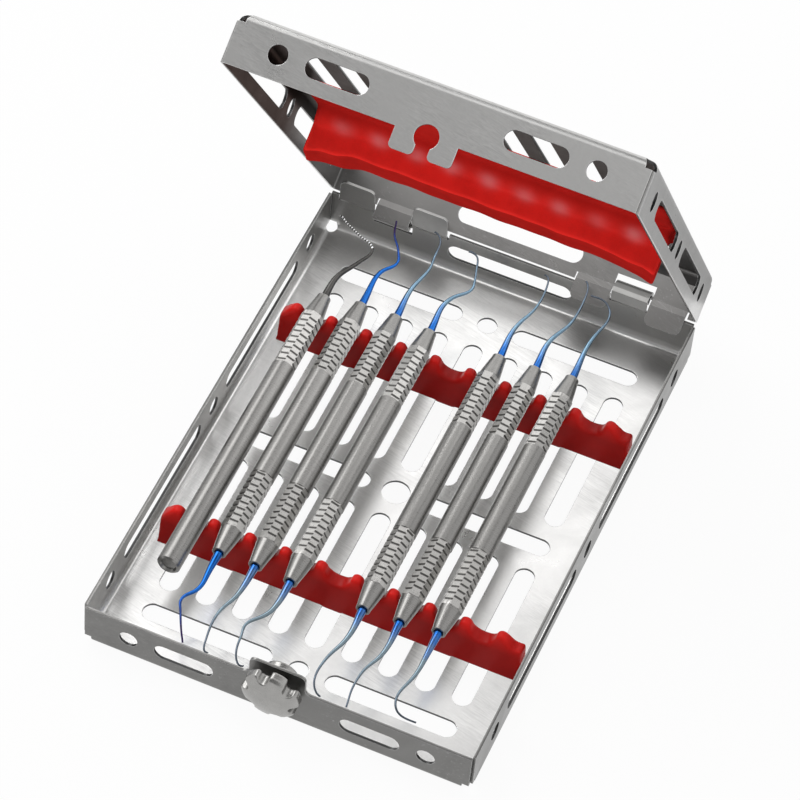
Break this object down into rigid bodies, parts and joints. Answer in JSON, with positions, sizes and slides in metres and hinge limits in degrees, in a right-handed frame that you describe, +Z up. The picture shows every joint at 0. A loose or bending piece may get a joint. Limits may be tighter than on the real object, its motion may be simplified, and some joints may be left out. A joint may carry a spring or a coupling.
{
  "type": "dental instrument cassette",
  "caption": "Open stainless-steel dental instrument cassette with hinged lid, turning latch knob, silicone rails and pad, and hand instruments in their seats.",
  "frame": {"origin": "middle of the base tray's underside", "axes": "+Z up, +X to the right seen from the latch, -Y towards the latch and +Y towards the hinge"},
  "size_m": [0.126, 0.2019, 0.1795],
  "materials": {
    "tray_steel": "satin, fine scratches",
    "lid_steel": "satin, fine scratches",
    "silicone": "smooth, slightly glossy",
    "pad_silicone": "smooth, slightly glossy",
    "knob_steel": "polished",
    "latch_steel": "turned",
    "handle_steel": "satin, drawn lengthwise",
    "probe_tip_steel": "dark polished steel",
    "blue_tip": "pale blue coated steel, glossy",
    "blue_tip_dark": "royal blue coated steel, glossy"
  },
  "bodies": {
    "base": {"base_tray": "tray_steel", "front_rail": "silicone", "rear_rail": "silicone"},
    "lid": {"lid": "lid_steel", "lid_pad": "pad_silicone"},
    "latch": {"latch_knob": "knob_steel", "latch_shaft": "latch_steel", "spring_washer": "latch_steel", "retaining_cap": "latch_steel"},
    "probe": {"probe_handle": "handle_steel", "probe_tip": "probe_tip_steel"},
    "instrument_2": {"handle_2": "handle_steel", "rear_tip_2": "blue_tip_dark", "front_tip_2": "blue_tip_dark"},
    "instrument_3": {"handle_3": "handle_steel", "rear_tip_3": "blue_tip", "front_tip_3": "blue_tip"},
    "instrument_4": {"handle_4": "handle_steel", "rear_tip_4": "blue_tip", "front_tip_4": "blue_tip"},
    "instrument_6": {"handle_6": "handle_steel", "rear_tip_6": "blue_tip", "front_tip_6": "blue_tip"},
    "instrument_7": {"handle_7": "handle_steel", "rear_tip_7": "blue_tip", "front_tip_7": "blue_tip"},
    "instrument_8": {"handle_8": "handle_steel", "rear_tip_8": "blue_tip", "front_tip_8": "blue_tip"}
  },
  "joints": [
    {"name": "lid_hinge", "type": "hinge", "parent": "base", "child": "lid", "pos_m": [0, 0.0911, 0.01665], "axis": [-1, 0, 0], "range_deg": [-58.05, 42]},
    {"name": "latch_turn", "type": "hinge", "parent": "base", "child": "latch", "pos_m": [0, -0.0908, 0.01665], "axis": [0, -1, 0], "range_deg": [0, 90]},
    {"name": "probe_lift", "type": "slide", "parent": "base", "child": "probe", "axis": [0, 0, 1], "range_m": [0, 0.02]},
    {"name": "instrument_2_lift", "type": "slide", "parent": "base", "child": "instrument_2", "axis": [0, 0, 1], "range_m": [0, 0.02]},
    {"name": "instrument_3_lift", "type": "slide", "parent": "base", "child": "instrument_3", "axis": [0, 0, 1], "range_m": [0, 0.02]},
    {"name": "instrument_4_lift", "type": "slide", "parent": "base", "child": "instrument_4", "axis": [0, 0, 1], "range_m": [0, 0.02]},
    {"name": "instrument_6_lift", "type": "slide", "parent": "base", "child": "instrument_6", "axis": [0, 0, 1], "range_m": [0, 0.02]},
    {"name": "instrument_7_lift", "type": "slide", "parent": "base", "child": "instrument_7", "axis": [0, 0, 1], "range_m": [0, 0.02]},
    {"name": "instrument_8_lift", "type": "slide", "parent": "base", "child": "instrument_8", "axis": [0, 0, 1], "range_m": [0, 0.02]}
  ]
}
